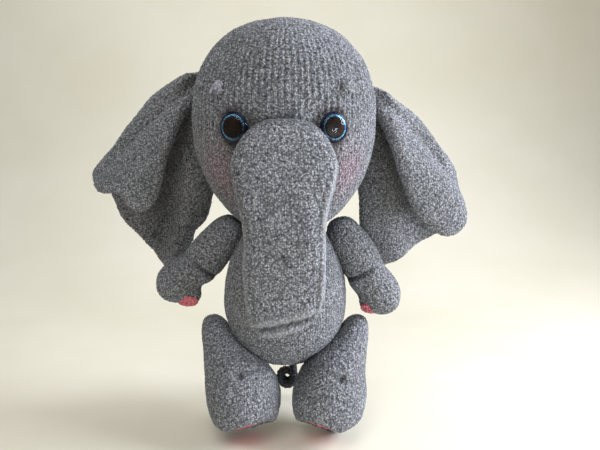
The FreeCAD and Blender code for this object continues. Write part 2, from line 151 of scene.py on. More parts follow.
STEPS = [np.array((i, j, k)) for i in (-1, 0, 1) for j in (-1, 0, 1) for k in (-1, 0, 1)]
CORNERS = [np.array((i, j, k)) for i in (0, 1) for j in (0, 1) for k in (0, 1)]
# the part of its cell in which a loop may stand, and the square of its reach, in pitches
LOOP_ROOM = (0.18, 0.82)
LOOP_REACH = 0.6


def loops(points, pitch, seed):
    """Height of a looped pile: 1 on top of a loop, 0 in the gaps between loops."""
    place = points / pitch
    cell = np.floor(place).astype(np.int64)
    nearest = np.full(len(points), np.inf)
    for step in STEPS:
        neighbour = cell + step
        reach = place - neighbour - between(*LOOP_ROOM, scatter(neighbour, seed))
        nearest = np.minimum(nearest, (reach * reach).sum(1))
    return np.clip(1 - nearest / LOOP_REACH, 0, 1)


def swell(points, pitch, seed):
    """Soft unevenness from -1 to 1 that changes over about one pitch."""
    place = points / pitch
    cell = np.floor(place).astype(np.int64)
    share = eased(place - cell)
    total = np.zeros(len(points))
    for corner in CORNERS:
        weight = np.prod(np.where(corner, share, 1 - share), axis=1)
        total += weight * scatter(cell + corner, seed)[:, 0]
    return total * 2 - 1


def spot(points, centre, radius):
    """1 at a centre, fading out over a radius."""
    return np.exp(-((points - np.array(centre)) ** 2).sum(1) / radius**2)


def groove(distance, width):
    """1 along a line, from the distance to it, fading out over a width."""
    return np.exp(-((distance / width) ** 2))


# ---- making forms

AROUND = 56


def ring(centre, across, deep, power=2.0):
    """Points round a cross-section with the half widths across and deep; a higher power is squarer."""
    angles = np.linspace(0, 2 * math.pi, AROUND, endpoint=False)
    c, s = np.cos(angles), np.sin(angles)
    c = np.sign(c) * np.abs(c) ** (2 / power)
    s = np.sign(s) * np.abs(s) ** (2 / power)
    return np.array(centre) + np.outer(c, across) + np.outer(s, deep)


def place_in_scene(name, data):
    """A new object in the scene."""
    made = bpy.data.objects.new(name, data)
    bpy.context.scene.collection.objects.link(made)
    return made


def solid(name, *shells):
    """A mesh object from closed shells, each a stack of rings with a fan of faces at both ends."""
    points, faces = [], []
    for rings in shells:
        rings = np.array(rings)
        rows, around = rings.shape[:2]
        first = len(points)
        ends = first + rows * around
        points.extend(rings.reshape(-1, 3).tolist())
        points.extend([rings[0].mean(0).tolist(), rings[-1].mean(0).tolist()])
        for i in range(around):
            j = (i + 1) % around
            faces.append((ends, first + j, first + i))
            last = first + (rows - 1) * around
            faces.append((ends + 1, last + i, last + j))
            for row in range(rows - 1):
                low = first + row * around
                faces.append((low + i, low + j, low + around + j, low + around + i))
    mesh = bpy.data.meshes.new(name)
    mesh.from_pydata(points, [], faces)
    shape = bmesh.new()
    shape.from_mesh(mesh)
    bmesh.ops.recalc_face_normals(shape, faces=shape.faces)
    shape.to_mesh(mesh)
    shape.free()
    return place_in_scene(name, mesh)


def settle_modifiers(made):
    """Work an object's modifiers into its mesh."""
    graph = bpy.context.evaluated_depsgraph_get()
    mesh = bpy.data.meshes.new_from_object(made.evaluated_get(graph))
    made.modifiers.clear()
    made.data = mesh


def even_out(made, spacing, smoothing):
    """Give a form even faces of one size."""
    remesh = made.modifiers.new("even", "REMESH")
    remesh.voxel_size = spacing
    smooth = made.modifiers.new("smooth", "SMOOTH")
    smooth.iterations = smoothing
    settle_modifiers(made)


def vectors(items, field):
    """One vector of each item of a mesh, as rows."""
    flat = np.zeros(len(items) * 3, np.float32)
    items.foreach_get(field, flat)
    return flat.reshape(-1, 3).astype(float)


def positions(mesh):
    return vectors(mesh.vertices, "co")


# frames of cloth simulation, push of the filling, and how far a point may move in it
PUFF_FRAMES = 20
PUFF_PRESSURE = 4
PUFF_LIMIT = 1.2 * MM


def puff(forms):
    """Let the forms settle as cloth under the push of their filling, each point moving a little at most."""
    scene = bpy.context.scene
    before = {}
    for made in forms:
        before[made.name] = positions(made.data)
        cloth = made.modifiers.new("filling", "CLOTH")
        cloth.settings.quality = 4
        cloth.settings.use_pressure = True
        cloth.settings.uniform_pressure_force = PUFF_PRESSURE
        cloth.settings.effector_weights.gravity = 0
        cloth.point_cache.frame_end = PUFF_FRAMES
    for step in range(1, PUFF_FRAMES + 1):
        scene.frame_set(step)
    for made in forms:
        settle_modifiers(made)
        moved = positions(made.data) - before[made.name]
        length = np.linalg.norm(moved, axis=1, keepdims=True)
        moved *= np.minimum(1, PUFF_LIMIT / np.maximum(length, 1e-9))
        made.data.vertices.foreach_set("co", (before[made.name] + moved).astype(np.float32).ravel())
        made.data.update()
    scene.frame_set(1)


def refine(made, levels):
    """Smooth a form to its final fineness."""
    subdivide = made.modifiers.new("fine", "SUBSURF")
    subdivide.levels = levels
    settle_modifiers(made)


def add_values(mesh, name, values):
    """Store one number or one vector per point under a name that a material can read."""
    kind, field = ("FLOAT_VECTOR", "vector") if values.ndim == 2 else ("FLOAT", "value")
    attribute = mesh.attributes.new(name, kind, "POINT")
    attribute.data.foreach_set(field, values.astype(np.float32).ravel())


# distance between the loops of the pile and their height, and the same for the knit's unevenness
PILE_PITCH = 1.9 * MM
PILE_HEIGHT = 0.8 * MM
SWELL_PITCH = 11 * MM
SWELL_HEIGHT = 0.35 * MM
# what a piece can store per point for its material, each from 0 to 1: blush, umber, painted shade and painted
# light
TINTS = ("blush", "umber", "shade", "light")


def knit(made, relief=None, tints=None, pitch=PILE_PITCH, height=PILE_HEIGHT, *, seed):
    """Cover a form with looped pile over its relief, and store what its material needs."""
    mesh = made.data
    points, outward = positions(mesh), vectors(mesh.vertex_normals, "vector")
    pile = loops(points, pitch, seed)
    lift = pile * height + swell(points, SWELL_PITCH, seed + 5) * SWELL_HEIGHT - height / 2
    if relief is not None:
        lift = lift + relief(points)
    moved = points + outward * lift[:, None]
    mesh.vertices.foreach_set("co", moved.astype(np.float32).ravel())
    mesh.shade_smooth()
    add_values(mesh, "pile", pile)
    add_values(mesh, "rest", points)
    found = tints(points) if tints else {}
    for name in TINTS:
        add_values(mesh, name, found.get(name, np.zeros(len(points))))
    mesh.update()


# ---- materials


def fill(socket, value):
    """Give an input of a node a plain value, a colour, or a link from another node's output."""
    if isinstance(value, bpy.types.NodeSocket):
        socket.id_data.links.new(value, socket)
    elif socket.type == "RGBA":
        socket.default_value = (*value, 1)
    else:
        socket.default_value = value


def feed(node, **values):
    """Fill a node's inputs by name, with _ for a space."""
    for name, value in values.items():
        fill(node.inputs[name.replace("_", " ")], value)
    return node


def add(tree, kind, **values):
    """A new shader node with its inputs fed."""
    return feed(tree.nodes.new("ShaderNode" + kind), **values)


def material(name, kind="BsdfPrincipled"):
    """A node material; returns it with its node tree and a shader that is joined to its output."""
    made = bpy.data.materials.new(name)
    made.use_nodes = True
    tree = made.node_tree
    tree.nodes.clear()
    shader = add(tree, kind)
    add(tree, "OutputMaterial", Surface=shader.outputs[0])
    return made, tree, shader


def stored(tree, name):
    """The node that reads what a mesh stores per point."""
    found = add(tree, "Attribute")
    found.attribute_name = name
    return found


def own_place(tree):
    """Places in a piece's own coordinates."""
    return add(tree, "TexCoord").outputs["Object"]


def noise(tree, scale, detail, place):
    return add(tree, "TexNoise", Scale=scale, Detail=detail, Vector=place).outputs["Fac"]


def ramp(tree, value, *stops):
    """A colour for a value, from (place, colour) stops."""
    made = add(tree, "ValToRGB", Fac=value)
    elements = made.color_ramp.elements
    while len(elements) < len(stops):
        elements.new(0.5)
    for element, (place, colour) in zip(elements, stops):
        element.position = place
        element.color = (*colour, 1)
    return made.outputs["Color"]


def mixed(tree, share, first, second, kind="MIX"):
    """Two colours mixed by a share. A share or a colour may be a socket or a plain value."""
    made = add(tree, "Mix")
    made.data_type = "RGBA"
    made.blend_type = kind
    for i, value in ((0, share), (6, first), (7, second)):
        fill(made.inputs[i], value)
    return made.outputs[2]


def bump(tree, height, distance, strength):
    return add(tree, "Bump", Height=height, Distance=distance, Strength=strength).outputs["Normal"]


# size of the curls drawn on the pile, and grains per metre of the noise for each kind of unevenness
CURL_PITCH = 1.35 * MM
WANDER, FUZZ, FIBRE, PATCHES = 420, 900, 2200, 38
# blush multiplies the yarn's colour, umber replaces it, painted shade darkens it to a share of its middle
# tone
BLUSH = (1.5, 0.84, 0.95)
UMBER = (0.05, 0.03, 0.022)
SHADE = 0.3


def plush(name, shaded_gap, middle_tone, tip):
    """Looped yarn: painted shade in the gaps, painted light on the loops, with fibre grain, uneven dye and a
    soft sheen.
    """
    made, tree, shader = material(name)
    place = stored(tree, "rest").outputs["Vector"]
    wander = add(tree, "TexNoise", Scale=WANDER, Detail=2, Vector=place)
    push = add(tree, "VectorMath")
    push.operation = "MULTIPLY_ADD"
    for socket, value in zip(push.inputs, (wander.outputs["Color"], (CURL_PITCH,) * 3, place)):
        fill(socket, value)
    cells = add(tree, "TexVoronoi", Scale=1 / CURL_PITCH, Randomness=0.8, Vector=push.outputs["Vector"])
    cells.feature = "SMOOTH_F1"
    feed(cells, Smoothness=0.25)
    curl = ramp(tree, cells.outputs["Distance"], (0.1, (1, 1, 1)), (0.85, (0, 0, 0)))
    fuzz = ramp(tree, noise(tree, FUZZ, 3, place), (0.3, (0, 0, 0)), (0.7, (1, 1, 1)))
    height = mixed(tree, 0.2, mixed(tree, 0.4, curl, fuzz), stored(tree, "pile").outputs["Fac"])
    # painted shade in the gaps between loops and painted light on the loop tops, by the pile's height
    colour = ramp(tree, height, (0.12, shaded_gap), (0.5, middle_tone), (0.88, tip))
    grain = ramp(tree, noise(tree, FIBRE, 2, place), (0.3, (0.8, 0.8, 0.8)), (0.7, (1.18, 1.18, 1.18)))
    dye = ramp(tree, noise(tree, PATCHES, 2, place), (0.35, (0.95, 0.96, 0.95)), (0.65, (1.04, 1.03, 1.06)))
    for tone in (grain, dye):
        colour = mixed(tree, 1.0, colour, tone, "MULTIPLY")
    # painted shade and painted light that a piece stores per point
    painted_shade_tone = tuple(channel * SHADE for channel in middle_tone)
    colour = mixed(tree, stored(tree, "shade").outputs["Fac"], colour, painted_shade_tone)
    colour = mixed(tree, stored(tree, "light").outputs["Fac"], colour, tip)
    rosy = mixed(tree, 1.0, colour, BLUSH, "MULTIPLY")
    colour = mixed(tree, stored(tree, "blush").outputs["Fac"], colour, rosy)
    colour = mixed(tree, stored(tree, "umber").outputs["Fac"], colour, UMBER)
    feed(shader, Base_Color=colour, Roughness=0.95, Specular_IOR_Level=0.12)
    feed(shader, Sheen_Weight=0.22, Sheen_Roughness=0.5, Sheen_Tint=(0.72, 0.76, 0.88))
    feed(shader, Normal=bump(tree, height, 1.0 * MM, 0.9))
    return made


def plastic(name, colour, roughness, gloss=0.5, darkest=0.85, pitch=3.3 * MM):
    """Moulded plastic whose colour is mottled down to a share of itself; on the pupil the mottle is a painted
    reflection.
    """
    made, tree, shader = material(name)
    mottle_and_reflection = noise(tree, 1 / pitch, 3, own_place(tree))
    darker = tuple(channel * darkest for channel in colour)
    feed(shader, Base_Color=ramp(tree, mottle_and_reflection, (0.3, darker), (0.7, colour)))
    feed(shader, Roughness=roughness, Specular_IOR_Level=gloss, Normal=bump(tree, mottle_and_reflection, 0.02 * MM, 0.1))
    return made


GREY = plush("grey_yarn", (0.026, 0.027, 0.029), (0.155, 0.158, 0.165), (0.52, 0.525, 0.54))
LIGHT_GREY = plush("light_grey_yarn", (0.14, 0.14, 0.15), (0.3, 0.3, 0.32), (0.52, 0.52, 0.55))
DARK_GREY = plush("dark_grey_yarn", (0.012, 0.012, 0.015), (0.045, 0.045, 0.05), (0.12, 0.12, 0.13))
PINK = plush("pink_yarn", (0.3, 0.03, 0.05), (0.68, 0.16, 0.2), (0.85, 0.36, 0.36))
FILLING = plastic("fibre_filling", (0.85, 0.85, 0.82), 0.95)
WHITE = plastic("white_plastic", (0.78, 0.78, 0.75), 0.45)
# the pupil's soft brown mottle is a painted reflection on the dark pupil
PUPIL = plastic("pupil_plastic", (0.035, 0.02, 0.014), 0.35, 0.08, 0.1, 9 * MM)
RIM = plastic("eye_rim_plastic", (0.004, 0.008, 0.022), 0.3, 0.15)
# glitter flakes per metre, and how strongly the lens mirrors at a slant
FLAKES = 2400
LENS_IOR = 1.22


def glitter_material():
    """Blue glitter flakes: many small facets that each catch the light in their own way, brightened on one
    side by a painted side light that the iris stores.
    """
    made, tree, shader = material("blue_glitter")
    flakes = add(tree, "TexVoronoi", Scale=FLAKES, Vector=own_place(tree))
    split = add(tree, "SeparateColor", Color=flakes.outputs["Color"])
    stops = ((0.0, (0.003, 0.02, 0.08)), (0.5, (0.02, 0.16, 0.42)), (0.95, (0.3, 0.75, 1.0)))
    lit = stored(tree, "painted_side_light").outputs["Color"]
    feed(shader, Base_Color=mixed(tree, 1.0, ramp(tree, split.outputs[0], *stops), lit, "MULTIPLY"))
    feed(shader, Metallic=0.5, Roughness=0.3, Normal=bump(tree, split.outputs[1], 0.15 * MM, 0.9))
    return made


def lens_material():
    """Clear plastic that mirrors at a slant and lets light through."""
    made, tree, both = material("clear_plastic", "MixShader")
    ripple = bump(tree, noise(tree, 200, 1, own_place(tree)), 0.01 * MM, 0.05)
    shaders = add(tree, "BsdfTransparent"), add(tree, "BsdfGlossy", Roughness=0.03, Normal=ripple)
    for socket, shader in zip(both.inputs[1:], shaders):
        fill(socket, shader.outputs["BSDF"])
    feed(both, Fac=add(tree, "Fresnel", IOR=LENS_IOR).outputs["Fac"])
    return made


GLITTER = glitter_material()
LENS = lens_material()


def dress(made, look):
    """Give a piece its material, in its material slot."""
    made.data.materials.clear()
    made.data.materials.append(look)


# ---- head and body

# height of the head above its widest place and below it, the same for the body, and how high that place
# is above the seat, which cuts the body off
CROWN = 69 * MM
JAW = 80 * MM
CHEST = 70 * MM
RUMP = 48 * MM
WAIST = 45.1 * MM
# how full the crown is: 2 is round, more is squarer
CROWN_POWER = 2.3
# distance between the knit's columns, how far above the head's middle they show most, and their height
WALE_PITCH = 4.3 * MM
WALES_HIGH = 28 * MM
WALES_REACH = 34 * MM
WALE_HEIGHT = 0.4 * MM
# the hollow round each eye, and the middle of each cheek from its eye: outward, back and up in millimetres
EYE_HOLLOW = 13 * MM
EYE_HOLLOW_DEEP = 2.6 * MM
CHEEK = (19, 8, -32)
HEAD_LOW, HEAD_HIGH = box("head_cover")
HEAD_HALF = (HEAD_HIGH - HEAD_LOW) / 2
HEAD_MIDDLE = np.array((0, (HEAD_LOW[1] + HEAD_HIGH[1]) / 2, HEAD_HIGH[2] - CROWN))
EYE_MIDDLE = {side: middle("eye_glitter_" + side) for side in SIDES}


def round_form(centre, half, above, below, crown_power=2.0, floor=-math.inf):
    """An egg, flat where it meets a floor: rings from its low pole to its high pole."""
    rings = []
    for turn in np.linspace(-0.5, 0.5, 41) * math.pi:
        rise = math.sin(turn)
        power = crown_power if rise > 0 else 2.0
        height = max(centre[2] + rise * (above if rise > 0 else below), floor)
        full = max(1 - abs(rise) ** power, 0.0004) ** (1 / power)
        rings.append(ring((*centre[:2], height), (half[0] * full, 0, 0), (0, half[1] * full, 0)))
    return rings


def wales(points):
    """The knit's upright columns round the head, from -1 to 1, and how clearly they show, from 0 to 1."""
    angle = np.arctan2(points[:, 0] - HEAD_MIDDLE[0], HEAD_MIDDLE[1] - points[:, 1])
    wander = swell(points, 14 * MM, 3) * 0.8
    clear = groove(points[:, 2] - (HEAD_MIDDLE[2] + WALES_HIGH), WALES_REACH)
    return np.cos(2 * math.pi * angle * HEAD_HALF[0] / WALE_PITCH + wander), clear


def head_relief(points):
    """Columns on the forehead and a hollow round each eye."""
    columns, clear = wales(points)
    lift = columns * clear * WALE_HEIGHT
    for eye in EYE_MIDDLE.values():
        lift -= spot(points, eye, EYE_HOLLOW) * EYE_HOLLOW_DEEP
    return lift


def head_tints(points):
    """Blush on the cheeks, brown round each eye, and painted shade between columns and along the trunk."""
    blush, umber = np.zeros(len(points)), np.zeros(len(points))
    for side, sign in SIDES.items():
        eye = EYE_MIDDLE[side]
        cheek = eye + np.array((sign, 1, 1)) * CHEEK * MM
        blush += spot(points, cheek, 18 * MM) * 0.75
        from_eye = points - eye
        distance = np.linalg.norm(from_eye, axis=1)
        outer = eased(0.5 + sign * from_eye[:, 0] / (12 * MM))
        umber += groove(distance - 11 * MM, 3 * MM) * (0.3 + 0.6 * outer)
    front = (points[:, 1] < HEAD_MIDDLE[1]).astype(float)
    columns, clear = wales(points)
    # painted shade in the grooves between the knit's columns, and a painted shadow under and beside the trunk
    column_shade = eased(-columns) * clear * 0.42
    trunk_shadow = groove(np.minimum(beside_trunk(points), 0), 3 * MM) * front
    return {
        "blush": blush * front,
        "umber": np.clip(umber, 0, 1) * front,
        "shade": np.clip(column_shade + 0.4 * trunk_shadow, 0, 1),
    }


head = solid("head_plush", round_form(HEAD_MIDDLE, HEAD_HALF, CROWN, JAW, CROWN_POWER))

BODY_LOW, BODY_HIGH = box("body_cover")
BODY_HALF = (BODY_HIGH - BODY_LOW) / 2
BODY_MIDDLE = np.array((0, 0, BODY_LOW[2] + WAIST))
body = solid("body_plush", round_form(BODY_MIDDLE, BODY_HALF, CHEST, RUMP, floor=BODY_LOW[2]))


# ---- trunk

TRUNK_LOW, TRUNK_HIGH = box("trunk_root_cover", "trunk_cover")
TRUNK_HALF = (TRUNK_HIGH[0] - TRUNK_LOW[0]) / 2
TRUNK_TOP = TRUNK_HIGH[2] - 1 * MM
TRUNK_TIP = TRUNK_LOW[2] + 0.5 * MM
TRUNK_FRONT = TRUNK_LOW[1]
# along the trunk from its sewn top (0) to its tip (1): its half width, as a share of the CAD trunk's
TRUNK_WIDTHS = (
    (0, 0.12), (0.01, 0.38), (0.035, 0.59), (0.07, 0.75), (0.12, 0.9), (0.2, 1.03), (0.3, 0.99),
    (0.4, 0.88), (0.52, 0.81), (0.66, 0.83), (0.78, 0.82), (0.87, 0.77), (0.94, 0.66), (0.985, 0.46),
    (1, 0.2),
)
# and how far its front and its back lie behind the foremost point, in millimetres
TRUNK_FRONTS = (
    (0, 19), (0.035, 15), (0.12, 8), (0.2, 4), (0.3, 1.5), (0.45, 0.5), (0.66, 1.5), (0.78, 4),
    (0.87, 6.5), (0.94, 9), (0.98, 12), (1, 20),
)
TRUNK_BACKS = (
    (0, 22), (0.035, 27), (0.12, 29), (0.4, 28.5), (0.66, 29.5), (0.78, 31), (0.87, 33.5), (0.94, 34.5),
    (1, 28),
)
# rise of the tip per width, squareness of the tube, how far it hangs to the left, and where its rim is
TIP_SLANT = 0.27
TRUNK_POWER = 3.0
TRUNK_ASIDE = 1.8 * MM
RIM_AT = 0.94
# how far the seam down each edge and the ridge beside it are from the edge
EDGE_SEAM = 5.2 * MM
EDGE_RIDGE = 3.0 * MM


def trunk_half(share):
    """Half width of the trunk."""
    return TRUNK_HALF * curve(TRUNK_WIDTHS, share)


def trunk_rings():
    """Rings of the trunk from its sewn top to its slanted tip."""
    rings = []
    shares = [np.linspace(0, 0.1, 12), np.linspace(0.12, 0.88, 30), np.linspace(0.9, 1, 12)]
    for share in np.concatenate(shares):
        front = TRUNK_FRONT + curve(TRUNK_FRONTS, share) * MM
        back = TRUNK_FRONT + curve(TRUNK_BACKS, share) * MM
        centre = (TRUNK_ASIDE, (front + back) / 2, between(TRUNK_TOP, TRUNK_TIP, share))
        points = ring(centre, (trunk_half(share), 0, 0), (0, (back - front) / 2, 0), TRUNK_POWER)
        points[:, 2] += points[:, 0] * TIP_SLANT * eased((share - 0.7) / 0.3)
        rings.append(points)
    return rings


def beside_trunk(points):
    """Distance from the edge of the trunk to each point, seen from the front; below 0 outside the trunk."""
    low_edge = TRUNK_TIP + points[:, 0] * TIP_SLANT
    share = (TRUNK_TOP - points[:, 2]) / (TRUNK_TOP - low_edge)
    across = trunk_half(share) - np.abs(points[:, 0] - TRUNK_ASIDE)
    return np.minimum.reduce((across, TRUNK_TOP - points[:, 2], points[:, 2] - low_edge))


def trunk_lines(points):
    """Share along the trunk, distance from its edge, and how much of the edge seam and of the rim shows."""
    share = (TRUNK_TOP - points[:, 2] + points[:, 0] * TIP_SLANT * 0.8) / (TRUNK_TOP - TRUNK_TIP)
    in_front = eased((TRUNK_FRONT + 17 * MM - points[:, 1]) / (8 * MM))
    from_edge = trunk_half(share) - np.abs(points[:, 0] - TRUNK_ASIDE)
    along = eased((share - 0.22) / 0.1) * eased((0.97 - share) / 0.06) * in_front
    across = eased(from_edge / (7 * MM)) * in_front
    return share, from_edge, along, across


def trunk_relief(points):
    """The seam down each edge of the tube, the rim round its end and a soft hollow above it."""
    share, from_edge, along, across = trunk_lines(points)
    seam = (groove(from_edge - EDGE_RIDGE, 1.4 * MM) - groove(from_edge - EDGE_SEAM, 1.4 * MM)) * 0.6
    rim = groove(share - RIM_AT, 0.02) * -2.4 + groove(share - RIM_AT + 0.04, 0.022) * 0.9
    rim += groove(share - RIM_AT - 0.035, 0.02) * 1.8 - groove(share - 0.79, 0.06) * 2.0
    return (seam * along + rim * across) * MM


def trunk_tints(points):
    """Painted shade in the seams, under the rim and on the back; painted highlights on the lips and the
    edges.
    """
    share, from_edge, along, across = trunk_lines(points)
    # painted shade in the edge seams, in the groove under the rim, and on the sides and back of the tube
    seam = groove(from_edge - EDGE_SEAM, 1.3 * MM) * along * 0.22
    behind = eased((points[:, 1] - TRUNK_FRONT - 12 * MM) / (8 * MM)) * 0.6
    # painted highlights along the rim's lips and the trunk's edges
    lip_highlight = (groove(share - RIM_AT - 0.03, 0.018) + groove(share - RIM_AT + 0.035, 0.018)) * across
    edge_highlight = groove(from_edge - 1.6 * MM, 1.8 * MM) * along
    return {
        "shade": np.clip(seam + groove(share - RIM_AT, 0.012) * across * 0.7 + behind, 0, 1),
        "light": np.clip(lip_highlight + edge_highlight, 0, 1) * 0.3,
    }


def body_tints(points):
    """Painted shadow on the belly where the trunk rests against it."""
    front = eased(-points[:, 1] / (20 * MM))
    # painted contact shadow under and beside the trunk's outline
    trunk_contact_shadow = groove(np.minimum(beside_trunk(points), 0), 2.6 * MM)
    return {"shade": trunk_contact_shadow * front * 0.5}


trunk = solid("trunk_plush", trunk_rings())


# ---- arms and legs


def limb_frame(kind, side):
    """Joint point, outward axis, hanging direction and cross axis of a limb, from its joint and its pad."""
    joint = JOINTS[("shoulder_" if kind == "arm" else "hip_") + side]
    start = np.array(joint["pos_m"], float)
    outward = unit(joint["axis"])
    outward = outward * np.sign(outward[0]) * SIDES[side]
    reach = middle("%s_pad_%s" % (kind, side)) - start
    hanging = unit(reach - outward * (reach @ outward))
    return start, outward, hanging, np.cross(hanging, outward)


# how far a pad lies from the CAD pad: towards the body, up the limb and forward; and how far it turns forward
PAD_SHIFT = {"arm": (4.5, 4.5, 3.5), "leg": (0, 0, 0)}
PAD_FACING = {"arm": 0.35, "leg": 0}


def pad_plane(kind, side):
    """Middle of a pad and the way it faces, which is the CAD pad's thin axis."""
    points = positions(frame["nodes"]["%s_pad_%s" % (kind, side)].data)
    centre = middle("%s_pad_%s" % (kind, side))
    spread = points - points.mean(0)
    thin = np.linalg.eigh(spread.T @ spread)[1][:, 0]
    _, outward, hanging, _ = limb_frame(kind, side)
    out = unit(thin * np.sign(thin @ hanging) + FORWARD * PAD_FACING[kind])
    shift = -np.array(PAD_SHIFT[kind]) @ (outward, hanging, -FORWARD)
    return centre + shift * MM, out


# along a limb in millimetres below its joint: middle (outward from the joint), half thickness, half width
ARM_SECTIONS = (
    (-16.5, 9.5, 0.4, 0.4), (-15.5, 9.5, 5, 5), (-12.5, 9.5, 9, 9), (-6, 9.8, 12.4, 12.6), (4, 11, 14, 14.2),
    (16, 12.2, 14.8, 15), (26, 12.6, 14.6, 14.8), (34, 13.6, 14.8, 14.8), (43, 15.4, 15.2, 15.2),
    (51, 16.4, 14.6, 14.8), (58, 16.6, 11.6, 12.4), (63, 16.4, 7.2, 8), (66, 16.2, 0.5, 0.5),
)
LEG_SECTIONS = (
    (-14.5, 11.5, 0.5, 0.5), (-13, 11.5, 4.5, 8), (-9, 11.4, 7.6, 14), (0, 10.6, 10.6, 19.5),
    (10, 9.2, 13.4, 22), (21, 7.2, 17.4, 24.6), (32, 4.4, 22.4, 26), (43, 3, 25.6, 26.8),
    (52, 3.2, 26.2, 26.6), (59, 3.6, 25.4, 25.6), (64, 4.2, 24, 24.2), (68, 4.6, 22.4, 22.6),
    (72, 5, 19.8, 20.2), (75.5, 5.4, 15.6, 16), (78.5, 5.6, 8, 8), (79.5, 5.6, 0.5, 0.5),
)
# how far the hand and the foot of each side stand further out than their sections, in millimetres
END_OUT = {"arm": {"left": 0.5, "right": 4.5}, "leg": {"left": 3.0, "right": 0.3}}
# depth of the wrist crease and of the ankle dimple, and how far out each dimple is
WRIST = 27
ANKLE = 40
DIMPLE_OUT = {"left": 7, "right": -3}
# how far the cover reaches past the middle of the pad, all round and in front
SOLE_FULLNESS = {"arm": 3, "leg": 1.2}
SOLE_LIP = {"arm": 0, "leg": 2.4}
# how far a leg may reach at 45 degrees between outward and down, which rounds the foot's outer corner
FOOT_CORNER = 64.5
# the dish in which a sole lies, the round of filling behind a hand's pad, and squareness of the sections
SOLE_RADIUS = 18.5
SOLE_DISH = 2.6
PALM_RADIUS = 9.6
LIMB_POWER = 2.15


def sole_lip(kind, side, points):
    """How much further the cover reaches past the pad at each point: most at the front and inner side."""
    pad_middle = pad_plane(kind, side)[0]
    ahead = (points - pad_middle) @ (FORWARD - 0.7 * np.array((SIDES[side], 0, 0)))
    return SOLE_LIP[kind] * eased((ahead / MM + 4) / 14) * MM


def limb_rings(kind, side):
    """Rings of a limb from its top to its end, flat where the pad goes on."""
    sections = ARM_SECTIONS if kind == "arm" else LEG_SECTIONS
    start, outward, hanging, cross = limb_frame(kind, side)
    pad_middle, pad_out = pad_plane(kind, side)
    flat = pad_middle + pad_out * SOLE_FULLNESS[kind] * MM
    slant = unit(outward + hanging)
    columns = [[(row[0], row[i]) for row in sections] for i in (1, 2, 3)]
    rings = []
    for depth in np.linspace(sections[0][0], sections[-1][0], 60):
        out, thick, wide = (float(curve(column, depth)) for column in columns)
        out += END_OUT[kind][side] * float(eased((depth - WRIST) / 16))
        centre = start + outward * out * MM + hanging * depth * MM
        points = ring(centre, outward * max(thick, 0.3) * MM, cross * max(wide, 0.3) * MM, LIMB_POWER)
        beyond = np.maximum((points - flat) @ pad_out - sole_lip(kind, side, points), 0)
        points = points - np.outer(beyond, pad_out)
        if kind == "leg":
            past_corner = np.maximum((points - start) @ slant - FOOT_CORNER * MM, 0)
            points = points - np.outer(past_corner, slant)
        rings.append(points)
    return rings


def limb_details(kind, side):
    """Relief and tints of a limb: a crease across the inner side of the wrist, or a stitched ankle dimple;
    the tints paint shade into the crease and the dimple.
    """
    start, outward, hanging, cross = limb_frame(kind, side)
    front = cross * np.sign(cross @ FORWARD)
    pad_middle, pad_out = pad_plane(kind, side)

    def local(points):
        from_start = (points - start) / MM
        return from_start @ outward, from_start @ hanging, from_start @ front

    def wrist(points):
        out, depth, ahead = local(points)
        fade = eased((25 - out) / 14) * eased((ahead + 4) / 10)
        return groove(depth - WRIST + 0.12 * (out - 10), 2.0) * fade, groove(depth - WRIST - 7, 5) * fade

    def ankle(points):
        out, depth, ahead = local(points)
        aside = out - DIMPLE_OUT[side]
        dimple = groove(aside, 2.4) * groove(depth - ANKLE, 3)
        wrinkle = groove(depth - ANKLE - 2 + 0.3 * np.abs(aside), 1.8) * groove(aside, 11)
        return dimple * eased(ahead / 10), wrinkle * eased(ahead / 10)

    def sole(points):
        from_pad = points - pad_middle
        rise = from_pad @ pad_out
        reach = np.linalg.norm(from_pad - np.outer(rise, pad_out), axis=1)
        deep = SOLE_DISH + sole_lip(kind, side, points) / MM
        return eased((SOLE_RADIUS * MM - reach) / (2 * MM)) * eased(1 + rise / (4 * MM)) * deep

    if kind == "arm":
        return (
            lambda points: (wrist(points)[1] * 0.9 - wrist(points)[0] * 2.8) * MM,
            # painted shade in the wrist crease
            lambda points: {"shade": wrist(points)[0] * 0.75},
        )
    return (
        lambda points: -(ankle(points)[0] * 2.6 + ankle(points)[1] * 0.9 + sole(points)) * MM,
        # painted shade in the ankle dimple and its wrinkle
        lambda points: {"shade": np.clip(ankle(points)[0] * 0.7 + ankle(points)[1] * 0.15, 0, 1)},
    )


# depth into the hand in millimetres and share of the palm's radius
PALM_PROFILE = ((-16, 0.3), (-15, 0.8), (-9, 1.0), (-4, 1.0), (-1.6, 0.93), (-0.9, 0.8), (-0.8, 0.3))


def palm_rings(side):
    """A stubby round of filling from inside the hand to its pad, so that the pad lies flat on the palm."""
    pad_middle, pad_out = pad_plane("arm", side)
    across = unit(np.cross(pad_out, FORWARD))
    other = np.cross(pad_out, across)
    rings = []
    for depth, share in PALM_PROFILE:
        radius = PALM_RADIUS * share * MM
        rings.append(ring(pad_middle + pad_out * depth * MM, across * radius, other * radius))
    return rings


def limb_form(kind, side):
    """A limb's solid; an arm's also has the palm."""
    shells = [limb_rings(kind, side)]
    if kind == "arm":
        shells.append(palm_rings(side))
    return solid("%s_plush_%s" % (kind, side), *shells)


limbs = {(kind, side): limb_form(kind, side) for kind in ("arm", "leg") for side in SIDES}


# ---- ears

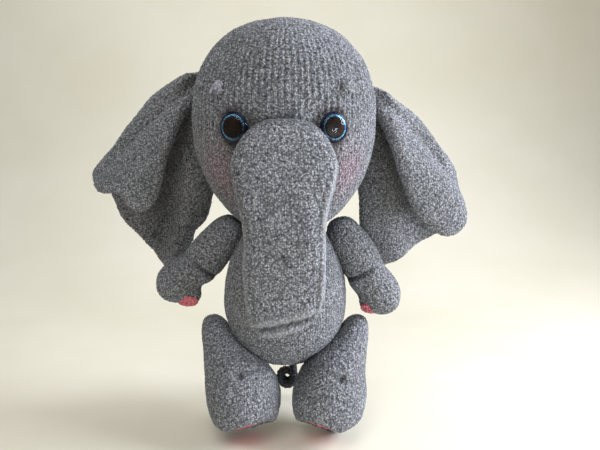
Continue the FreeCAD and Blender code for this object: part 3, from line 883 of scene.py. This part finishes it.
# Outlines in millimetres outward and upward from each ear's hinge. The front part is folded forward
# along the line from the top of the outline to its outer tip.
EAR_OUTLINES = {
    "right": {
        "fold": ((-3, 41), (73, -33)),
        "front": (
            (-5, 40), (4, 39), (15, 34), (32, 22.5), (41, 12), (51, 1), (62, -14), (73, -26), (79, -35),
            (69, -43), (58, -43), (51, -46), (45, -54), (38, -56.5), (31, -51), (26, -40), (22, -24),
            (16, -7), (10, 9), (5, 18), (-1, 27), (-6, 34),
        ),
        "back": (
            (-8, 36), (4, 37), (16, 31), (33, 18), (50, -3), (61, -18), (71, -32), (68, -52), (63, -68),
            (53, -80), (43, -93), (33, -105.5), (21, -98), (13, -87), (10.5, -77), (2, -69), (-3, -56),
            (-7, -36), (-10, -12), (-12, 10), (-12, 26),
        ),
    },
    "left": {
        "fold": ((2, 31), (68, -46)),
        "front": (
            (-3, 30), (6, 28), (18, 19), (31, 9), (43, -6), (49, -14), (58, -25), (63, -37), (66.5, -55),
            (64, -68), (54, -74), (44, -70), (34, -62), (27, -50), (23, -41), (18, -27), (12, -8), (6, 8),
            (0, 21), (-4, 26),
        ),
        "back": (
            (-8, 28), (4, 27), (18, 16), (32, 4), (45, -12), (56, -30), (63, -50), (62, -66), (55, -78),
            (42, -86), (29, -96.5), (15, -103.5), (7, -101), (-0.5, -86), (-4, -69), (-5, -55), (-8, -38),
            (-11, -15), (-13, 8), (-12, 22),
        ),
    },
}
# in millimetres: how far the fold lies behind the hinge, how far the front comes forward from it and the
# back goes back, half the padding of each, and what the outlines gain for the rounding of the edge
FOLD_LIFT = 4
FRONT_DEPTH = 23
BACK_DEPTH = {"left": 12, "right": 13}
EAR_HALF_THICK = {"front": 5.8, "back": 5.0}
EAR_MARGIN = 2.4


def smooth_outline(corners):
    """Evenly spaced points on a closed smooth curve through corners."""
    corners = np.array(corners, float)
    fine = []
    for i in range(len(corners)):
        a, b, c, d = (corners[(i + k) % len(corners)] for k in (-1, 0, 1, 2))
        for t in np.linspace(0, 1, 12, endpoint=False):
            bend = (2 * a - 5 * b + 4 * c - d) * t**2 + (3 * b - a - 3 * c + d) * t**3
            fine.append(0.5 * (2 * b + (c - a) * t + bend))
    closed = np.array(fine + fine[:1])
    length = run_length(closed)
    places = np.linspace(0, length[-1], AROUND, endpoint=False)
    return np.stack([np.interp(places, length, closed[:, k]) for k in (0, 1)], axis=1)


def ear_depth(panel, side, flat):
    """How far back a panel's middle lies, in millimetres behind the hinge, at flat places on the ear."""
    top, tip = (np.array(point, float) for point in EAR_OUTLINES[side]["fold"])
    along = unit(tip - top)
    inward = np.array((along[1], -along[0]))
    if inward[0] > 0:
        inward = -inward
    from_fold = np.maximum((flat - top) @ inward, 0)
    away = 1 - np.exp(-from_fold / 8)
    if panel == "front":
        near_head = eased((18 - flat[:, 0]) / 22)
        return FOLD_LIFT - FRONT_DEPTH * away * (1 - 0.55 * near_head)
    depth = FOLD_LIFT - 8 + (BACK_DEPTH[side] + 8) * away + 12 * eased((-flat[:, 1] - 10) / 90)
    roll_at = curve(((-110, 26), (-80, 17), (-57, 9), (-20, 7), (40, 4)), flat[:, 1])
    if side == "right":
        roll = groove(flat[:, 0] - roll_at, 10)
        valley = groove(flat[:, 0] - roll_at - 17, 9) * eased((-flat[:, 1] + 10) / 30)
        return depth - 8 * roll + 6 * valley
    return depth - 4 * groove(flat[:, 0] - roll_at, 14) + 3 * groove(flat[:, 0] - roll_at - 26, 12)


def ear_panel(panel, side):
    """A padded sheet: rings that grow from the middle of one face to the outline and shrink on the other."""
    outline = smooth_outline(EAR_OUTLINES[side][panel])
    centre = outline.mean(0)
    along = np.roll(outline, -1, axis=0) - np.roll(outline, 1, axis=0)
    aside = units(np.stack([along[:, 1], -along[:, 0]], axis=1))
    outline = outline + aside * EAR_MARGIN * np.sign(np.sum(aside * (outline - centre)))
    hinge = np.array(JOINTS["ear_flap_" + side]["pos_m"], float)
    half_thick = EAR_HALF_THICK[panel]
    rings = []
    for turn in np.linspace(0.02, 0.98, 36) * math.pi:
        share = math.sin(turn) ** 0.7
        face = math.cos(turn)
        flat = centre + (outline - centre) * share
        thick = half_thick * np.sign(face) * (1 - share**7) ** 0.5
        back = ear_depth(panel, side, flat) + thick
        place = np.stack([SIDES[side] * flat[:, 0], back, flat[:, 1]], axis=1)
        rings.append(hinge + place * MM)
    return rings


def ear_tints(side):
    """Painted shadow of the fold: on the back panel, close to the edge of the front panel that hangs over it.
    """
    outline = smooth_outline(EAR_OUTLINES[side]["front"])
    hinge = np.array(JOINTS["ear_flap_" + side]["pos_m"], float)
    centre = outline.mean(0)
    turns = np.arctan2(outline[:, 1] - centre[1], outline[:, 0] - centre[0])
    reaches = np.linalg.norm(outline - centre, axis=1)

    def tints(points):
        local = (points - hinge) / MM
        flat = np.stack([SIDES[side] * local[:, 0], local[:, 2]], axis=1) - centre
        turn = np.arctan2(flat[:, 1], flat[:, 0])
        edge = np.interp(turn, turns, reaches, period=2 * math.pi)
        outside = np.maximum(np.linalg.norm(flat, axis=1) - edge, 0)
        behind = eased((local[:, 1] - ear_depth("front", side, flat + centre) - EAR_HALF_THICK["front"]) / 3)
        # painted shadow cast by the front panel onto the back panel
        return {"shade": groove(outside, 9) * behind * 0.5}

    return tints


ears = {side: solid("ear_plush_" + side, ear_panel("front", side), ear_panel("back", side)) for side in SIDES}


# ---- from forms to plush

# each form with the spacing of its evened faces in millimetres and how often they are split again
FORMS = [(head, 6.0, 3), (body, 4.8, 3), (trunk, 2.8, 2)]
FORMS += [(made, 2.6 if kind == "arm" else 3.0, 2) for (kind, side), made in limbs.items()]
FORMS += [(made, 1.8, 1) for made in ears.values()]

for made, spacing, levels in FORMS:
    even_out(made, spacing * MM, 2)
puff([made for made, spacing, levels in FORMS])
for made, spacing, levels in FORMS:
    refine(made, levels)

knit(head, head_relief, head_tints, seed=1)
knit(body, None, body_tints, seed=2)
knit(trunk, trunk_relief, trunk_tints, seed=3)
for i, ((kind, side), made) in enumerate(limbs.items()):
    knit(made, *limb_details(kind, side), seed=10 + i)
for i, (side, made) in enumerate(ears.items()):
    knit(made, None, ear_tints(side), seed=20 + i)

for made in (head, body, trunk, *limbs.values(), *ears.values()):
    dress(made, GREY)
for made, name in ((head, "head"), (body, "body")):
    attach(made, "torso")
    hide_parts(name + "_cover", name + "_stuffing")
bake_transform(trunk)
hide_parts("trunk_root_cover", "trunk_root_stuffing", "trunk_cover", "trunk_stuffing")
for (kind, side), made in limbs.items():
    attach(made, "%s_%s" % (kind, side))
    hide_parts("%s_cover_%s" % (kind, side), "%s_stuffing_%s" % (kind, side))
for side, made in ears.items():
    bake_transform(made)
    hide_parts("ear_back_" + side, "ear_front_" + side)


# ---- pads

# rise of a pad's dome, its radius as a share of the CAD pad's, how deep it is sunk, and its face spacing
PAD_DOME = {"arm": 2.0, "leg": 1.8}
PAD_SHARE = {"arm": 1.0, "leg": 0.92}
PAD_SUNK = {"arm": 0.4, "leg": 0.8}
PAD_SPACING = {"arm": 1.6, "leg": 2.4}
ROUND_PITCH = 3.4 * MM


def pad_piece(kind, side):
    """A crocheted disc with a soft dome, worked in rounds."""
    node = "%s_pad_%s" % (kind, side)
    centre, out = pad_plane(kind, side)
    outward = limb_frame(kind, side)[1]
    sunk = centre - out * PAD_SUNK[kind] * MM
    across = unit(outward - out * (outward @ out))
    radius = np.ptp(positions(frame["nodes"][node].data) @ across) / 2
    rings = []
    for turn in np.linspace(0.04, 0.96, 24) * math.pi:
        share = math.sin(turn) ** 0.75
        face = -math.cos(turn)
        rise = (PAD_DOME[kind] * (1 - share**2.4) * (face > 0) - 1.4 * (1 - share**6) * (face < 0)) * MM
        reach = radius * PAD_SHARE[kind] * share
        rings.append(ring(sunk + out * rise, across * reach, np.cross(out, across) * reach))
    made = solid("%s_pad_plush_%s" % (kind, side), rings)
    even_out(made, PAD_SPACING[kind] * MM, 2)
    refine(made, 2)

    def rounds(points):
        from_centre = points - centre
        reach = np.linalg.norm(from_centre - np.outer(from_centre @ out, out), axis=1)
        return np.cos(2 * math.pi * reach / ROUND_PITCH) * 0.25 * MM

    knit(made, rounds, height=0.6 * MM, seed=30)
    dress(made, PINK)
    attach(made, "%s_%s" % (kind, side))
    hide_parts(node)


for kind, side in limbs:
    pad_piece(kind, side)


# ---- eyes


def glitter_radius(side):
    """Radius of an eye's glitter ring in the CAD."""
    low, high = box("eye_glitter_" + side)
    return (high[2] - low[2]) / 2


def eye_frame(side):
    """Middle of an eye's base, the way the eye looks, and two axes across it."""
    base = EYE_MIDDLE[side]
    out = unit(middle("eye_lens_" + side) - middle("eye_washer_" + side))
    across = unit(np.cross(UP, out))
    return base, out, across, np.cross(out, across)


# the layers of an eye: radius as a share of the CAD glitter's, then height of the edge over the eye's base
# and rise of the dome, in millimetres
EYE_LAYERS = {
    "eye_rim": (1.14, 1.3, 1.9),
    "eye_iris": (0.91, 2.5, 0.8),
    "eye_pupil_front": (0.79, 3.0, 1.0),
    "eye_lens_front": (1.08, 1.0, 4.6),
}
EYE_LAYER_THICK = 0.4


def eye_layer(name, side, look):
    """One shallow dome of an eye."""
    base, out, across, up = eye_frame(side)
    share_of_glitter, low, rise = EYE_LAYERS[name]
    radius = glitter_radius(side) * share_of_glitter
    profile = [(share, low + rise * math.sqrt(1 - share**2)) for share in np.linspace(0.02, 1, 20)]
    profile += [(share, low - EYE_LAYER_THICK) for share in (0.98, 0.02)]
    rings = []
    for share, height in profile:
        rings.append(ring(base + out * height * MM, across * radius * share, up * radius * share))
    made = solid(name + "_" + side, rings)
    made.data.shade_smooth()
    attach(made, "torso")
    dress(made, look)
    return made


def eye(side):
    """A dark rim, a disc of glitter, the pupil on it and the clear dome over them."""
    eye_layer("eye_rim", side, RIM)
    iris = eye_layer("eye_iris", side, GLITTER)
    base, _, _, up = eye_frame(side)
    from_base = (positions(iris.data) - base) / glitter_radius(side)
    # painted light: the glitter is brighter towards the outer, upper side of each eye
    outer = from_base[:, 0] * SIDES[side] + from_base @ up * 0.3
    add_values(iris.data, "painted_side_light", between(0.25, 1.3, eased(0.5 + 0.7 * outer)))
    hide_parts("eye_glitter_" + side)
    eye_layer("eye_pupil_front", side, PUPIL)
    lens = eye_layer("eye_lens_front", side, LENS)
    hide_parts("eye_lens_" + side)


for side in SIDES:
    eye(side)


# ---- yarn tubes: brows and tail


def headings(path):
    """The direction of a path at each of its points."""
    return units(np.gradient(path, axis=0))


def tube(path, across, other, step):
    """A ring round each point of a path, with only every step-th of its usual points."""
    return [ring(*each)[::step] for each in zip(path, across, other)]


# shares of a cord's radius: where its plies lie, how thick a ply is, and the length of the tapered ends
PLY_AT, PLY_THICK, PLY_TAPER = 0.45, 0.62, 0.8
# a direction that no part of the cord points in
ASLANT = UP + np.array((0.31, 0.17, 0))


def cord(name, path, radius, plies, twist):
    """A twisted cord along a path: plies of thread wound round each other."""
    ahead = headings(path)
    aside = units(np.cross(ahead, ASLANT))
    other = np.cross(ahead, aside)
    length = run_length(path)
    from_end = np.minimum(length, length[-1] - length)
    taper = np.sqrt(np.clip(from_end / (radius * PLY_TAPER), 0.02, 1))
    thick = (radius * PLY_THICK * taper)[:, None]
    shells = []
    for ply in range(plies):
        turn = (2 * math.pi * (length / twist + ply / plies))[:, None]
        wound = path + (aside * np.cos(turn) + other * np.sin(turn)) * radius * PLY_AT
        shells.append(tube(wound, aside * thick, other * thick, 4))
    return solid(name, *shells)


# a brow's loops of yarn: how many, how thick, and how much of a full turn each makes
TUFT_LOOPS = 26
TUFT_YARN = 0.55 * MM
TUFT_TURN = 0.8


def brow(side):
    """A tuft of loose yarn loops stitched above an eye."""
    node = "brow_" + side
    centre = middle(node)
    low, high = box(node)
    half = (high - low) / 2
    rng = np.random.default_rng(7 + SIDES[side])
    turns = np.linspace(0, 2 * math.pi * TUFT_TURN, 22)
    shells = []
    for _ in range(TUFT_LOOPS):
        start = centre + rng.normal(0, 0.36, 3) * half * np.array((1, 0.6, 1))
        size = half[0] * rng.uniform(0.3, 0.5)
        first, second = unit(rng.normal(size=3)), unit(rng.normal(size=3))
        path = start + size * (np.outer(np.cos(turns), first) + np.outer(np.sin(turns), second))
        across = np.tile(unit(np.cross(first, second)), (len(path), 1))
        shells.append(tube(path, across * TUFT_YARN, np.cross(headings(path), across) * TUFT_YARN, 7))
    made = solid("brow_tuft_" + side, *shells)
    knit(made, pitch=0.9 * MM, height=0.2 * MM, seed=40)
    dress(made, LIGHT_GREY)
    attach(made, "torso")
    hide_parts(node)


for side in SIDES:
    brow(side)


# radius and twist of the tail's cord, room between its curl and the CAD tail's box, and where the cord
# comes out of the body: so far ahead of its joint and above it
TAIL_THICK = 3.3 * MM
TAIL_TWIST = 8 * MM
CURL_ROOM = 2.4 * MM
CURL_RISE = 6 * MM
TAIL_START = np.array((0, -9, 5)) * MM
# turns of the curl, how much it tightens, and how far back it goes per radian
CURL_TURNS = 1.7
CURL_TIGHTENS = 0.3
CURL_BACK = 0.8 * MM


def tail():
    """A dark twisted cord that hangs down the back and curls up at its end."""
    root = np.array(JOINTS["tail_swing"]["pos_m"], float)
    low, high = box("tail")
    curl = (high[0] - low[0]) / 2 - CURL_ROOM
    drop = root[2] - low[2] - curl - CURL_RISE
    path = [root + TAIL_START * share for share in (1, 0.75, 0.5, 0.25)]
    for share in np.linspace(0, 1, 24, endpoint=False):
        path.append(root + np.array((curl * float(eased(share)), 0, -drop * share)))
    for turned in np.linspace(0, CURL_TURNS, 64):
        turn = turned * 2 * math.pi
        reach = curl * (1 - CURL_TIGHTENS * turned / CURL_TURNS)
        aside, down = math.cos(turn) * reach, drop + math.sin(turn) * reach
        path.append(root + np.array((aside, CURL_BACK * turn, -down)))
    made = cord("tail_cord", np.array(path), TAIL_THICK, 3, TAIL_TWIST)
    even_out(made, 0.7 * MM, 1)
    refine(made, 1)
    knit(made, pitch=1.5 * MM, height=0.5 * MM, seed=50)
    dress(made, DARK_GREY)
    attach(made, "tail")
    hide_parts("tail")


tail()


# ---- CAD parts that stay

for name, node in frame["nodes"].items():
    if node.hide_render:
        continue
    look = WHITE
    if name.startswith("eye_pupil"):
        look = PUPIL
    elif name == "neck_yarn":
        look = FILLING
    node.data.materials.clear()
    node.data.materials.append(look)


# ---- floor, light and camera

# metres: the floor's front edge, where it starts to bend up behind the toy, its bend, height and half width
FLOOR_FRONT = -1.5
BEND_STARTS = 0.28
BEND_RADIUS = 0.35
FLOOR_TOP = 2.0
FLOOR_ASIDE = 2.5


def sweep_floor():
    """A pale floor that curves up behind the toy."""
    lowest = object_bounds()[0][2]
    made, tree, shader = material("pale_floor")
    cloudy = noise(tree, 6, 3, own_place(tree))
    feed(shader, Base_Color=ramp(tree, cloudy, (0.3, (0.76, 0.72, 0.58)), (0.7, (0.82, 0.78, 0.66))))
    feed(shader, Roughness=0.9)
    profile = [(FLOOR_FRONT, 0.0), (BEND_STARTS, 0.0)]
    for turn in np.linspace(0, math.pi / 2, 16):
        bend = BEND_RADIUS * math.sin(turn), BEND_RADIUS * (1 - math.cos(turn))
        profile.append((BEND_STARTS + bend[0], bend[1]))
    profile.append((BEND_STARTS + BEND_RADIUS, FLOOR_TOP))
    points, faces = [], []
    for y, z in profile:
        points += [(-FLOOR_ASIDE, y, lowest + z), (FLOOR_ASIDE, y, lowest + z)]
    for i in range(len(profile) - 1):
        faces.append((2 * i, 2 * i + 1, 2 * i + 3, 2 * i + 2))
    mesh = bpy.data.meshes.new("floor")
    mesh.from_pydata(points, [], faces)
    mesh.shade_smooth()
    mesh.materials.append(made)
    place_in_scene("floor", mesh)


def area_light(name, place, target, size, power, colour, spread=180):
    """A round lamp that faces a target, with its light spread over an angle in degrees."""
    lamp = bpy.data.lights.new(name, "AREA")
    lamp.shape = "DISK"
    lamp.size = size
    lamp.spread = math.radians(spread)
    lamp.energy = power
    lamp.color = colour
    made = place_in_scene(name, lamp)
    made.location = place
    made.rotation_euler = (Vector(target) - Vector(place)).to_track_quat("-Z", "Y").to_euler()


def lights():
    """Soft daylight from the toy's left, filled from the front and from above."""
    aim = (0, 0, 0.11)
    feet = (0, 0, 0.06)
    area_light("key", (0.8, -0.04, 0.46), aim, 0.5, 4.7, (0.84, 0.89, 1.0), 110)
    area_light("fill", (-0.15, -0.65, 0.8), aim, 0.6, 3.5, (1.0, 0.98, 0.94))
    area_light("bounce", (0.45, -0.45, -0.02), feet, 0.3, 0.75, (0.86, 0.9, 1.0), 80)
    area_light("top", (0.05, 0.1, 0.95), aim, 0.8, 3.2, (0.98, 0.98, 1.0))
    world = bpy.data.worlds.new("studio")
    world.use_nodes = True
    sky = world.node_tree.nodes["Background"]
    feed(sky, Color=(0.9, 0.93, 1.0), Strength=0.26)
    bpy.context.scene.world = world
    bpy.context.scene.view_settings.view_transform = "Standard"


def camera():
    """The photograph's viewpoint: close, a little above the toy's middle."""
    rise = math.radians(8)
    distance = 0.425
    aim = Vector((0.011, 0, 0.1013))
    back = Vector((0, -math.cos(rise), math.sin(rise)))
    lens = bpy.data.cameras.new("camera")
    lens.lens = 35
    made = place_in_scene("camera", lens)
    made.location = aim + back * distance
    made.rotation_euler = (-back).to_track_quat("-Z", "Y").to_euler()
    bpy.context.scene.camera = made


sweep_floor()
lights()
camera()
